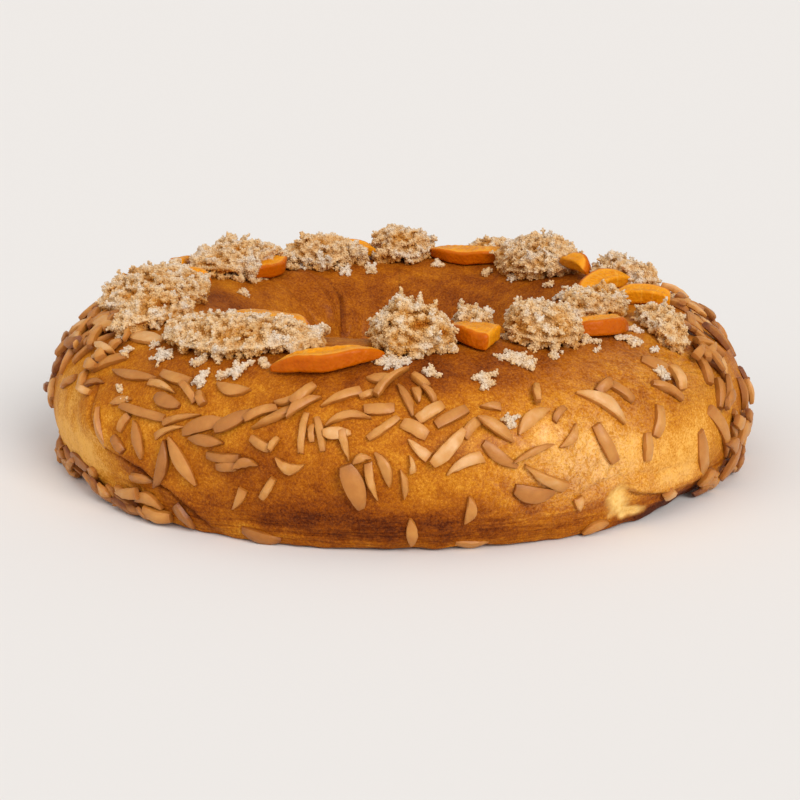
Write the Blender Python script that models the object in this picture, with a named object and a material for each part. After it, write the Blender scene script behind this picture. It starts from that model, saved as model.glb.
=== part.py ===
"""Roscon de reyes: a baked ring of sweet dough, topped with candied orange and clumps of sugar.

The ring's axis is Z, its flat underside lies on z = 0 and its front is towards -Y. A place on the
ring is given by two angles in degrees. theta goes round the ring, from the front towards +X. phi
goes round the section of the dough: -90 at the outer edge of the underside, 0 at the outer side,
90 at the crest, 180 in the hole and 270 at the inner edge of the underside. Lengths are in metres.
"""
import math
from itertools import combinations

import bmesh
import bpy
from mathutils import Matrix, Vector, noise

# The ring of dough
PATH_RADIUS = 0.115         # from the axis to the middle of the dough
HALF_WIDTH = 0.055          # of the dough's section, at its widest
WIDEST_HEIGHT = 0.033       # where the section is widest
CREST_HEIGHT = 0.078
UNDERSIDE_INSET = 0.007     # how far the underside's edges lie in from the sides
SLOW_WAVE = (3, 0.8, 0.0009)    # unevenness round the ring: waves, start in radians, height
QUICK_WAVE = (5, 2.1, 0.0006)
STEPS_ROUND = 84
STEPS_SECTION = 26
STEPS_SIDE = 5              # steps of the section from its widest point down to the underside
AXES_STEP = 1.5             # degrees either way for telling the dough's directions
DEGREE_ACROSS = 0.00087     # length of one degree of phi
GAP = 0.0003                # left between pieces that touch
SAG = 0.0006                # how far a flat facet strays from the round dough

# Toppings
SLICE_THICKNESS = 0.0075
SLICE_CHAMFER = 0.0008
SLICE_STEPS = 24
CLUMP_STEPS_ROUND = 14
CLUMP_STEPS_UP = 8
RAGGED = 0.22               # share by which a clump's outline wanders
RAGGED_WAVES = 1.3          # how often, across the clump's half-length
LUMPY = 0.45                # share by which its height wanders
LUMPY_WAVES = 1.9
ROUND_SHOULDER = 0.7        # below 1 the clump's top is flatter than a sphere's
RAGGED_SEED = 7.3           # steps through the noise from one clump to the next
LUMPY_SEED = 3.1

# Uneven places in the dough: theta, phi, half-width along each, and how far it stands proud
SWELLS = (
    (-70, -12, 20, 40, 0.0022),     # lobe on the left flank
    (0, -20, 34, 40, 0.0012),       # heavy front
    (35, -40, 8, 20, -0.0028),      # torn hollow low on the right
    (46, -18, 8, 14, 0.0022),       # flap of skin beside the tear
    (72, 5, 18, 45, 0.0022),        # right flank
    (-126, 138, 24, 34, 0.0030),    # lobe that bulges into the hole
    (150, 145, 30, 40, -0.0014),    # slack wall opposite that lobe
    (100, 95, 40, 30, -0.0012),     # crest sinks on the right
    (-20, 90, 40, 26, 0.0008),
    (180, 10, 50, 45, 0.0012),      # back
)

# Places where the edge of the underside is tucked further in: theta, half-width, extra inset
TUCKS = (
    (-60, 17, 0.009),
    (53, 11, 0.010),
    (150, 20, 0.004),
)

# Laps where the ends of the dough overlap: the way along the lap as (theta, phi), and how far the
# dough to the right of that way stands proud
LAPS = (
    (((-33, -60), (-36, -36), (-44, -21), (-50, -4), (-58, 0), (-62, 15)), 0.0026),
    (((-138, 108), (-147, 115), (-153, 126), (-154, 140), (-151, 165)), 0.0036),
)
LAP_EDGE = 0.0022           # half the width of a lap's step
LAP_REACH = 0.026           # how far back from its edge a lap stays proud
LAP_FADE = 0.2              # share of a lap over which it fades at each end
LAP_GROOVE = 0.5            # depth of the groove at a lap's edge, as a share of its height
FINE_REACH = 0.010          # how far from a lap the mesh is finer
FINE_CUTS = 2

# Orange slices: name, theta and phi of the middle, the way the rind faces (0 outwards, 90 along
# theta, 180 to the hole), lean of the rind upwards, radius, depth behind the rind, length cut off
# one end (negative for the other end) and how high the sugar beneath holds the slice up
SLICES = (
    ("orange_front_left", -12.2, 60, 16, 22, 0.036, 0.0115, 0.000, 0.000),
    ("orange_front_centre", 18.0, 80, -42, 4, 0.026, 0.0175, -0.024, 0.000),
    ("orange_front_right", 44.8, 75, -8, 18, 0.024, 0.0105, 0.000, 0.000),
    ("orange_left_inner", -34.5, 100, 178, 3, 0.039, 0.0165, 0.000, 0.001),
    ("orange_left_small", -101.0, 99, -75, 8, 0.009, 0.0080, 0.000, 0.001),
    ("orange_left_far", -117.0, 73, 20, 14, 0.016, 0.0100, 0.000, 0.002),
    ("orange_back_left", -132.5, 112, 196, 8, 0.023, 0.0120, 0.005, 0.001),
    ("orange_back", -166.0, 93, 5, 20, 0.017, 0.0110, 0.000, 0.001),
    ("orange_back_long", 159.5, 97, 180, -6, 0.036, 0.0150, 0.004, 0.000),
    ("orange_back_right", 118.0, 98, 0, 22, 0.014, 0.0095, 0.000, 0.004),
    ("orange_right_arc", 99.0, 104, 120, 22, 0.023, 0.0130, 0.000, 0.001),
    ("orange_right_flesh", 85.5, 83, 84, 18, 0.021, 0.0120, 0.009, 0.000),
)

# Sugar clumps: name, theta and phi of the middle, turn of the long way from theta towards phi,
# half-length, half-width, height and seed of the lumps
CLUMPS = (
    ("sugar_front", 2.2, 87, 0, 0.0190, 0.0180, 0.0190, 1),
    ("sugar_front_small", 18.5, 103, 0, 0.0105, 0.0095, 0.0140, 2),
    ("sugar_front_right", 30.5, 84, 0, 0.0190, 0.0155, 0.0165, 3),
    ("sugar_front_left", -34.0, 78, 4, 0.0425, 0.0175, 0.0100, 4),
    ("sugar_left_near", -63.5, 76, 0, 0.0140, 0.0190, 0.0120, 5),
    ("sugar_left", -88.5, 82, 0, 0.0365, 0.0250, 0.0125, 6),
    ("sugar_left_far", -126.5, 96, 0, 0.0300, 0.0185, 0.0165, 7),
    ("sugar_back_left", -157.0, 96, 0, 0.0235, 0.0150, 0.0140, 8),
    ("sugar_back", 179.5, 93, 0, 0.0195, 0.0150, 0.0180, 9),
    ("sugar_back_low", 157.0, 66, 0, 0.0200, 0.0080, 0.0120, 10),
    ("sugar_back_right", 136.0, 98, 0, 0.0265, 0.0180, 0.0150, 11),
    ("sugar_right_far", 109.0, 82, 0, 0.0215, 0.0170, 0.0125, 12),
    ("sugar_right_near", 62.0, 101, 0, 0.0260, 0.0120, 0.0150, 13),
    ("sugar_right_flank", 61.5, 66, 38, 0.0235, 0.0100, 0.0095, 14),
)


def bump(distance):
    """1 at no distance, falling smoothly away over a distance of about 1."""
    return math.exp(-distance * distance)


def turn_between(angle, other):
    """Smallest turn in degrees from the second angle to the first."""
    return (angle - other + 180) % 360 - 180


def metres_from(theta, phi, other_theta, other_phi):
    """How far one place on the dough lies from another, along theta and along phi."""
    radius = PATH_RADIUS + HALF_WIDTH * math.cos(math.radians(phi))
    along = math.radians(turn_between(theta, other_theta)) * radius
    return Vector((along, (phi - other_phi) * DEGREE_ACROSS))


def beside_way(theta, phi, way):
    """Distance left of a way along the dough, and the share of the way passed, 0 to 1."""
    nearest, passed = math.inf, 0
    for index, (start, end) in enumerate(zip(way, way[1:])):
        to_start = metres_from(theta, phi, *start)
        run = metres_from(*end, *start)
        share = min(max(to_start.dot(run) / run.length_squared, 0), 1)
        offset = to_start - run * share
        if offset.length < abs(nearest):
            nearest = math.copysign(offset.length, run.x * offset.y - run.y * offset.x)
            passed = (index + share) / (len(way) - 1)
    return nearest, passed


def lap_height(theta, phi, way, height):
    """Height of one lap: a step to the right of the way, easing off behind it and at its ends."""
    distance, passed = beside_way(theta, phi, way)
    step = 0.5 - 0.5 * math.tanh(distance / LAP_EDGE)
    groove = LAP_GROOVE * bump(distance / LAP_EDGE)
    from_end = min(passed, 1 - passed, LAP_FADE) / LAP_FADE
    return height * from_end * (step * bump(distance / LAP_REACH) - groove)


def swell(theta, phi):
    """How far the dough stands proud of the plain ring."""
    turn = math.radians(theta)
    waves, start, rise = SLOW_WAVE
    height = rise * math.sin(waves * turn + start)
    waves, start, rise = QUICK_WAVE
    height += rise * math.sin(waves * turn + start + math.radians(phi))
    for middle_theta, middle_phi, half_theta, half_phi, proud in SWELLS:
        across = bump((phi - middle_phi) / half_phi)
        height += proud * across * bump(turn_between(theta, middle_theta) / half_theta)
    for way, proud in LAPS:
        height += lap_height(theta, phi, way, proud)
    return height


def dough_point(theta, phi, across_underside=None):
    """Point on the dough, or on its flat underside at a share of the way across it."""
    sine = math.sin(math.radians(phi))
    cosine = math.cos(math.radians(phi))
    inset = UNDERSIDE_INSET
    for middle, half, extra in TUCKS:
        inset += extra * bump(turn_between(theta, middle) / half)
    if across_underside is not None:
        outer = HALF_WIDTH - inset
        inner = -HALF_WIDTH + UNDERSIDE_INSET
        out, height = outer + (inner - outer) * across_underside, 0.0
    elif sine >= 0:
        proud = swell(theta, phi)
        out = (HALF_WIDTH + proud) * cosine
        height = WIDEST_HEIGHT + (CREST_HEIGHT - WIDEST_HEIGHT + proud) * sine
    else:
        side_inset = inset if phi < 90 else UNDERSIDE_INSET
        proud = swell(theta, phi) * (1 + sine)
        out = HALF_WIDTH + proud - side_inset * (1 - abs(cosine))
        out = out if phi < 90 else -out
        height = WIDEST_HEIGHT * (1 + sine)
    radius = PATH_RADIUS + out
    turn = math.radians(theta)
    return Vector((radius * math.sin(turn), -radius * math.cos(turn), height))


def dough_axes(theta, phi):
    """Directions along theta, across it along phi, and out of the dough."""
    along = dough_point(theta + AXES_STEP, phi) - dough_point(theta - AXES_STEP, phi)
    across = dough_point(theta, phi + AXES_STEP) - dough_point(theta, phi - AXES_STEP)
    along.normalize()
    outward = along.cross(across).normalized()
    return along, outward.cross(along), outward


def on_dough(theta, phi, height):
    """Point at a height above the dough."""
    return dough_point(theta, phi) + dough_axes(theta, phi)[2] * height


def clearance(point):
    """How far a point lies above the dough, or below it if negative."""
    theta = math.degrees(math.atan2(point.x, -point.y))
    out = (math.hypot(point.x, point.y) - PATH_RADIUS) / HALF_WIDTH
    up = (point.z - WIDEST_HEIGHT) / (CREST_HEIGHT - WIDEST_HEIGHT)
    phi = math.degrees(math.atan2(up, out))
    return (point - dough_point(theta, phi)).dot(dough_axes(theta, phi)[2])


def material(name, colour, roughness):
    """Plain food surface of one colour."""
    surface = bpy.data.materials.new(name)
    surface.use_nodes = True
    shader = surface.node_tree.nodes["Principled BSDF"]
    shader.inputs["Base Color"].default_value = (*colour, 1)
    shader.inputs["Roughness"].default_value = roughness
    shader.inputs["Metallic"].default_value = 0
    surface.diffuse_color = (*colour, 1)
    return surface


def add_object(name, mesh, surface, collection):
    """Object of a finished bmesh, in its collection."""
    mesh.normal_update()
    bmesh.ops.recalc_face_normals(mesh, faces=mesh.faces)
    data = bpy.data.meshes.new(name)
    mesh.to_mesh(data)
    mesh.free()
    data.materials.append(surface)
    data.shade_smooth()
    data.set_sharp_from_angle(angle=math.radians(50))
    thing = bpy.data.objects.new(name, data)
    collection.objects.link(thing)
    return thing


def torus_angles(point):
    """Turn round the torus from the front, and turn round its section from the outer side."""
    out = math.hypot(point.x, point.y) - PATH_RADIUS
    return math.degrees(math.atan2(point.x, -point.y)), math.degrees(math.atan2(point.z, out))


def near_lap(edge):
    """Whether the middle of an edge of the torus lies close to a lap."""
    middle = (edge.verts[0].co + edge.verts[1].co) / 2
    theta, turn = torus_angles(middle)
    return any(abs(beside_way(theta, turn, way)[0]) < FINE_REACH for way, _ in LAPS)


def make_bread():
    """The ring of dough: a torus whose section takes the dough's, finer along the laps."""
    bpy.ops.mesh.primitive_torus_add(
        major_segments=STEPS_ROUND, minor_segments=STEPS_SECTION,
        major_radius=PATH_RADIUS, minor_radius=HALF_WIDTH)
    torus = bpy.context.object
    mesh = bmesh.new()
    mesh.from_mesh(torus.data)
    bpy.data.objects.remove(torus)
    bmesh.ops.subdivide_edges(mesh, edges=[edge for edge in mesh.edges if near_lap(edge)],
                              cuts=FINE_CUTS, use_grid_fill=True)
    side = STEPS_SIDE * 360 / STEPS_SECTION
    for vertex in mesh.verts:
        theta, turn = torus_angles(vertex.co)
        if side - 180 + 0.1 < turn < -side - 0.1:
            vertex.co = dough_point(theta, -90, (-turn - side) / (180 - 2 * side))
        elif turn <= side - 180 + 0.1:
            vertex.co = dough_point(theta, 180 + (turn + 180) * 90 / side)
        elif turn < 0:
            vertex.co = dough_point(theta, turn * 90 / side)
        else:
            vertex.co = dough_point(theta, turn)
    return add_object("bread", mesh, crust, parts)


def slice_mesh(radius, depth, end_cut):
    """Part of a round slice, rind towards +Y, its straight edge along X, lying on z = 0."""
    mesh = bmesh.new()
    bmesh.ops.create_circle(mesh, cap_ends=True, segments=SLICE_STEPS, radius=radius)
    straight = radius - depth
    cuts = [((0, straight, 0), (0, -1, 0))]
    if end_cut:
        side = math.copysign(1, end_cut)
        cuts.append((((radius - abs(end_cut)) * side, 0, 0), (side, 0, 0)))
    for point, facing in cuts:
        everything = mesh.verts[:] + mesh.edges[:] + mesh.faces[:]
        bmesh.ops.bisect_plane(mesh, geom=everything, plane_co=point, plane_no=facing,
                               clear_outer=True)
    bmesh.ops.remove_doubles(mesh, verts=mesh.verts, dist=2 * SLICE_CHAMFER)
    raised = bmesh.ops.extrude_face_region(mesh, geom=mesh.faces[:])
    top = [item for item in raised["geom"] if isinstance(item, bmesh.types.BMVert)]
    bmesh.ops.translate(mesh, verts=top, vec=(0, 0, SLICE_THICKNESS))
    bmesh.ops.translate(mesh, verts=mesh.verts, vec=(0, -straight - depth / 2, 0))
    mesh.normal_update()
    bmesh.ops.recalc_face_normals(mesh, faces=mesh.faces)
    return mesh


def enlarge(mesh, margin):
    """Grow a mesh by a margin on every side."""
    for axis in range(3):
        low = min(vertex.co[axis] for vertex in mesh.verts)
        high = max(vertex.co[axis] for vertex in mesh.verts)
        middle, factor = (low + high) / 2, 1 + 2 * margin / (high - low)
        for vertex in mesh.verts:
            vertex.co[axis] = middle + (vertex.co[axis] - middle) * factor


def slice_place(mesh, theta, phi, rind_way, lean, raised):
    """Where a slice lies so that its lowest point clears the dough by the gap."""
    along, across, outward = dough_axes(theta, phi)
    axes = Matrix((along, across, outward)).transposed().to_4x4()
    facing = Matrix.Rotation(math.radians(180 + rind_way), 4, "Z")
    leaning = Matrix.Rotation(math.radians(lean), 4, "X")
    place = Matrix.Translation(dough_point(theta, phi)) @ axes @ facing @ leaning
    under = [vertex.co.copy() for vertex in mesh.verts if vertex.co.z < SLICE_CHAMFER / 2]
    inside = [a.lerp(b, share) for a, b in combinations(under, 2) for share in (0.25, 0.5, 0.75)]
    for _ in range(2):
        lowest = min(clearance(place @ point) for point in under + inside)
        place = Matrix.Translation(outward * (GAP + raised - lowest)) @ place
    return place


def make_slice(name, theta, phi, rind_way, lean, radius, depth, end_cut, raised):
    """One slice and the slightly larger room that it takes up in the sugar."""
    room_mesh = slice_mesh(radius, depth, end_cut)
    mesh = room_mesh.copy()
    bmesh.ops.bevel(mesh, geom=mesh.edges[:], offset=SLICE_CHAMFER, segments=1, profile=0.5,
                    affect="EDGES", material=-1)
    place = slice_place(mesh, theta, phi, rind_way, lean, raised)
    mesh.transform(place)
    add_object(name, mesh, candied_orange, parts)
    enlarge(room_mesh, 1.3 * GAP)
    room_mesh.transform(place)
    room = add_object("room_for_" + name, room_mesh, candied_orange, cutters)
    room.hide_render = True
    room.display_type = "WIRE"
    return room


def wander(x, y, seed):
    """Smooth noise over a clump, from -1 to 1."""
    return noise.noise(Vector((x, y, seed)))


def make_clump(name, theta, phi, turn, half_length, half_width, height, seed):
    """A heap of sugar: a sphere flattened onto the dough, with a lumpy top and outline."""
    mesh = bmesh.new()
    bmesh.ops.create_uvsphere(mesh, u_segments=CLUMP_STEPS_ROUND, v_segments=CLUMP_STEPS_UP,
                              radius=1)
    round_path = PATH_RADIUS + HALF_WIDTH * math.cos(math.radians(phi))
    turned = Matrix.Rotation(math.radians(turn), 2)
    for vertex in mesh.verts:
        x, y, z = vertex.co
        ragged = 1 + RAGGED * wander(x * RAGGED_WAVES, y * RAGGED_WAVES, seed * RAGGED_SEED)
        lumps = 1 + LUMPY * wander(x * LUMPY_WAVES, y * LUMPY_WAVES, seed * LUMPY_SEED + 5)
        along, across = turned @ Vector((half_length * x * ragged, half_width * y * ragged))
        rise = height * lumps * max(z, 0) ** ROUND_SHOULDER
        vertex.co = on_dough(theta + math.degrees(along / round_path),
                             phi + across / DEGREE_ACROSS, GAP + SAG + rise)
    return add_object(name, mesh, damp_sugar, parts)


def spans(thing):
    """Extent of an object along each axis."""
    corners = [Vector(corner) for corner in thing.bound_box]
    return [(min(c[axis] for c in corners), max(c[axis] for c in corners)) for axis in range(3)]


def cut_rooms(clump, rooms):
    """Cut the room for each slice that reaches into a clump."""
    for room in rooms:
        pairs = zip(spans(clump), spans(room))
        if all(low <= other_high and other_low <= high
               for (low, high), (other_low, other_high) in pairs):
            cut = clump.modifiers.new("room", "BOOLEAN")
            cut.operation = "DIFFERENCE"
            cut.solver = "EXACT"
            cut.object = room


for leftover in list(bpy.data.objects):
    bpy.data.objects.remove(leftover)
parts = bpy.data.collections.new("roscon_de_reyes")
cutters = bpy.data.collections.new("cutters")
bpy.context.scene.collection.children.link(parts)
bpy.context.scene.collection.children.link(cutters)

crust = material("baked_crust", (0.50, 0.19, 0.035), 0.38)
candied_orange = material("candied_orange", (0.80, 0.27, 0.02), 0.35)
damp_sugar = material("damp_sugar", (0.72, 0.56, 0.34), 0.70)

make_bread()
rooms = [make_slice(*values) for values in SLICES]
for values in CLUMPS:
    cut_rooms(make_clump(*values), rooms)
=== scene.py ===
"""Looks of a roscon de reyes: a baked ring of sweet dough with candied orange, damp sugar and almonds.

The ring's axis is Z and its front is towards -Y. A place on the ring is given by two angles in
degrees: theta goes round the ring from the front towards +X, and phi goes round the section of the
dough, 0 at the outer side, 90 at the crest, 180 in the hole and -90 under the outer side.
"""
import math
import random

import bmesh
import bpy
import numpy as np
from mathutils import Matrix, Vector, noise
from mathutils.bvhtree import BVHTree
from mathutils.kdtree import KDTree


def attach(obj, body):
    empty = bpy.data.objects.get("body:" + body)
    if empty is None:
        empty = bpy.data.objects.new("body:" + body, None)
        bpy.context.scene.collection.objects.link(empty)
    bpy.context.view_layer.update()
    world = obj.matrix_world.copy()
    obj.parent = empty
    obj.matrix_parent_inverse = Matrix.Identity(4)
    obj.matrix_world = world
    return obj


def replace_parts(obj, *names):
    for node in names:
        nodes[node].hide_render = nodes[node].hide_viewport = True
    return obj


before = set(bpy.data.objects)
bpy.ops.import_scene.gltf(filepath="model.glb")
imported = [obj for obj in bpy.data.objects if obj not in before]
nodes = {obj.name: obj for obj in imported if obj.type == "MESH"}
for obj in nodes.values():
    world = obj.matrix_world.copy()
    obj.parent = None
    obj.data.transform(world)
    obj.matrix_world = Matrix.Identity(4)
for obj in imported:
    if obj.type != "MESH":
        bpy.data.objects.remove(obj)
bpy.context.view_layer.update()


# ---- The ring of dough ---------------------------------------------------------------------------
# A thick rope of enriched dough, closed into a ring where its ends lap over each other, washed with
# egg and baked brown. The solid's mesh is smoothed and divided, then the skin's wrinkles, the laps
# and a torn spot low on the right are pushed into it.
path_radius = 0.115         # from the ring's axis to the middle of the dough
half_width = 0.055
widest_height = 0.033       # where the section is widest
crest_height = 0.078
base_inset = 0.007          # how much narrower the dough is at its base
degree_across = 0.00087     # length of one degree of phi


def merged_copy(node):
    """Closed bmesh of a CAD node, its loose triangles merged."""
    mesh = bmesh.new()
    mesh.from_mesh(nodes[node].data)
    bmesh.ops.remove_doubles(mesh, verts=mesh.verts, dist=0.00001)
    return mesh


def new_piece(name, mesh, finish):
    """Object of a mesh that rides with the food, smooth except at its sharp edges."""
    piece = bpy.data.objects.new(name, mesh)
    bpy.context.scene.collection.objects.link(piece)
    mesh.materials.clear()
    mesh.materials.append(finish)
    mesh.shade_smooth()
    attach(piece, "root")
    return piece


def with_modifiers_applied(mesh, modifiers):
    """The mesh after a list of (kind, settings) modifiers."""
    holder = bpy.data.objects.new("holder", mesh)
    bpy.context.scene.collection.objects.link(holder)
    for kind, settings in modifiers:
        modifier = holder.modifiers.new(kind.lower(), kind)
        for setting, value in settings.items():
            setattr(modifier, setting, value)
    view = bpy.context.evaluated_depsgraph_get()
    finished = bpy.data.meshes.new_from_object(holder.evaluated_get(view))
    bpy.data.objects.remove(holder)
    return finished


def ring_angles(points):
    """theta and phi of an array of points near the dough, in degrees."""
    out = np.hypot(points[:, 0], points[:, 1]) - path_radius
    height = points[:, 2] - widest_height
    upper = np.degrees(np.arctan2(height / (crest_height - widest_height), out / half_width))
    lower = -np.degrees(np.arcsin(np.clip(-height / widest_height, 0, 1)))
    phi = np.where(height > 0, upper, np.where(out > 0, lower, 180 - lower))
    return np.degrees(np.arctan2(points[:, 0], -points[:, 1])), phi


def positions(mesh):
    """Vertex positions of a mesh as an array."""
    points = np.zeros(len(mesh.vertices) * 3)
    mesh.vertices.foreach_get("co", points)
    return points.reshape(-1, 3)


def patch(theta, phi, middle_theta, middle_phi, half_theta, half_phi):
    """1 at a place on the dough, falling smoothly to 0 about a half-width away."""
    turn = (theta - middle_theta + 180) % 360 - 180
    return np.exp(-(turn / half_theta) ** 2 - ((phi - middle_phi) / half_phi) ** 2)


def beside_way(theta, phi, way):
    """Distance left of a way over the dough, and the share of the way passed."""
    nearest = np.full(len(theta), 1.0)
    passed = np.zeros(len(theta))
    radius = path_radius + half_width * np.cos(np.radians(phi))
    for index, (start, end) in enumerate(zip(way, way[1:])):
        along = np.radians((theta - start[0] + 180) % 360 - 180) * radius
        across = (phi - start[1]) * degree_across
        run = (np.radians((end[0] - start[0] + 180) % 360 - 180) * radius,
               (end[1] - start[1]) * degree_across)
        length = run[0] ** 2 + run[1] ** 2
        share = np.clip((along * run[0] + across * run[1]) / length, 0, 1)
        off = (along - run[0] * share, across - run[1] * share)
        distance = np.hypot(*off)
        closer = distance < np.abs(nearest)
        side = np.sign(run[0] * off[1] - run[1] * off[0])
        nearest = np.where(closer, distance * side, nearest)
        passed = np.where(closer, (index + share) / (len(way) - 1), passed)
    return nearest, passed


def soft_noise(points, size, seed=0.0, stretch=(1, 1, 1)):
    """Smooth noise from -1 to 1 with lumps of a size, at an array of points."""
    scaled = points / (np.array(stretch) * size)
    offset = Vector((seed, seed * 1.7, -seed))
    return np.array([noise.noise(Vector(point) + offset) for point in scaled])


def ring_noise(theta, phi, along, across, seed=0.0):
    """Noise whose lumps have a length round the ring and one across it."""
    radius = path_radius + half_width * np.cos(np.radians(phi))
    angle = np.radians(theta)
    flat = np.stack((np.cos(angle) * radius / along, np.sin(angle) * radius / along,
                     phi * degree_across / across), axis=1)
    offset = Vector((seed, seed * 1.7, -seed))
    return np.array([noise.noise(Vector(point) + offset) for point in flat])


def lap(distance, passed, edge, depth, proud):
    """A crease along a way, with the dough to the right of it standing proud."""
    step = 0.5 - 0.5 * np.tanh(distance / edge)
    fade = np.clip(np.minimum(passed, 1 - passed) / 0.15, 0, 1)
    crease = np.exp(-(distance / edge) ** 2)
    return fade * (proud * step * np.exp(-(distance / 0.010) ** 2) - depth * crease)


outer_lap = ((-29, -66), (-32, -42), (-36, -27), (-41, -15), (-50, -6), (-54, 10), (-57, 30))
hole_lap = ((-138, 106), (-145, 113), (-152, 124), (-154, 138), (-151, 166))
hole_crease = ((-142, 112), (-146, 126), (-148, 144), (-150, 168))
lobe_crease = ((-126, 108), (-133, 122), (-133, 142), (-138, 162))
flap_edge = ((58, -30), (51, -40), (44, -38), (38, -33), (35, -24))
fold_above = ((24, -36), (26, -27), (29, -17), (33, -15), (38, -14), (44, -19), (52, -20))
dark_fold = ((14, -2), (15, -10), (17, -20), (19, -32))

bread_mesh = merged_copy("bread")
bmesh.ops.join_triangles(bread_mesh, faces=bread_mesh.faces, angle_face_threshold=0.7,
                         angle_shape_threshold=0.9)
plain = bpy.data.meshes.new("bread_plain")
bread_mesh.to_mesh(plain)
bread_mesh.free()
divided = with_modifiers_applied(plain, [("SUBSURF", {"levels": 2, "render_levels": 2})])

bread_mesh = bmesh.new()
bread_mesh.from_mesh(divided)
angles = ring_angles(positions(divided))
seen = [vertex for vertex, theta, phi in zip(bread_mesh.verts, *angles)
        if (abs(theta) < 95 and -75 < phi < 80) or (abs(theta) > 115 and 100 < phi < 185)]
fine = {edge for vertex in seen for edge in vertex.link_edges}
bmesh.ops.subdivide_edges(bread_mesh, edges=list(fine), cuts=1, smooth=0.6, use_grid_fill=True)
skin = bpy.data.meshes.new("bread_skin")
bread_mesh.to_mesh(skin)
bread_mesh.free()

places = positions(skin)
theta, phi = ring_angles(places)
outer = beside_way(theta, phi, outer_lap)
hole = beside_way(theta, phi, hole_lap)
second = beside_way(theta, phi, hole_crease)
third = beside_way(theta, phi, lobe_crease)
flap = beside_way(theta, phi, flap_edge)
upper_fold = beside_way(theta, phi, fold_above)
front_fold = beside_way(theta, phi, dark_fold)
rough = soft_noise(places, 0.0030, 3.0)
lumps = soft_noise(places, 0.0250, 8.0)
small_lumps = soft_noise(places, 0.0085, 5.0)
wander = soft_noise(places, 0.0120, 11.0)

tear_shape = patch(theta, phi, 34.2, -32, 3.0, 15) + 0.9 * patch(theta, phi, 36.8, -54, 4.0, 10)
tear_shape += 0.30 * soft_noise(places, 0.0060, 27.0) + 0.12 * rough
torn = np.clip((tear_shape - 0.42) / 0.36, 0, 1)
hole_wall = patch(theta, phi, 180, 145, 70, 32)
right_skin = patch(theta, phi, 50, 44, 24, 26)
blistered = patch(theta, phi, 28, 0, 10, 26)
base_folds = np.exp(-((phi + 50) / 28) ** 2)
slanted = phi + 1.1 * (theta - 27) * np.clip(right_skin * 1.6, 0, 1)
wrinkles = ring_noise(theta, slanted, 0.030, 0.0040, 21.0)
wall_wrinkles = ring_noise(theta - 0.10 * phi, phi, 0.0042, 0.030, 33.0)
lobe_wrinkles = ring_noise(theta + 0.55 * phi, phi, 0.0050, 0.035, 45.0)
hole_lobe = patch(theta, phi, -128, 138, 20, 26)
edge_curl = np.exp(-((phi + 74) / 13) ** 2)

raised = 0.00070 * lumps + 0.00042 * small_lumps + 0.00012 * rough
raised += lap(outer[0] + 0.0012 * wander, outer[1], 0.0014, 0.0030, 0.0014)
raised += lap(hole[0] + 0.0010 * wander, hole[1], 0.0018, 0.0026, 0.0014)
raised += lap(second[0] + 0.0010 * wander, second[1], 0.0013, 0.0020, 0.0012)
raised += lap(third[0] + 0.0010 * wander, third[1], 0.0015, 0.0012, 0.0008)
raised += lap(flap[0] + 0.0012 * wander, flap[1], 0.0012, 0.0028, 0.0028)
raised += lap(upper_fold[0] + 0.0010 * wander, upper_fold[1], 0.0012, 0.0013, 0.0003)
raised += lap(front_fold[0] + 0.0012 * wander, front_fold[1], 0.0013, 0.0015, 0.0012)
raised += 0.00062 * right_skin * wrinkles
raised += 0.00060 * blistered * (np.abs(soft_noise(places, 0.0046, 17.0, (1, 1, 0.6))) * 2 - 0.6)
raised += 0.00050 * hole_wall * wall_wrinkles * (1 - hole_lobe)
raised += 0.00060 * hole_lobe * lobe_wrinkles
base_streaks = ring_noise(theta, phi + 3 * wander, 0.022, 0.0026, 71.0)
raised += 0.00060 * base_folds * base_streaks
raised += 0.0010 * edge_curl * soft_noise(places, 0.0090, 51.0)
raised += torn * (-0.0012 + 0.0006 * rough + 0.0016 * small_lumps)
raised += 0.0005 * np.exp(-((tear_shape - 0.36) / 0.07) ** 2)
underside = (phi < -88) & (places[:, 2] < 0.0004)
raised[underside] = 0

normals = np.zeros(len(skin.vertices) * 3)
skin.vertices.foreach_get("normal", normals)
places += normals.reshape(-1, 3) * raised[:, None]
places[:, 2] = np.maximum(places[:, 2], 0)
skin.vertices.foreach_set("co", places.ravel())
skin.update()


def paint(mesh, name, values):
    """Store one number for each vertex, for the finish to read."""
    attribute = mesh.attributes.new(name, "FLOAT", "POINT")
    attribute.data.foreach_set("value", np.asarray(values, dtype=float))


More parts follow.
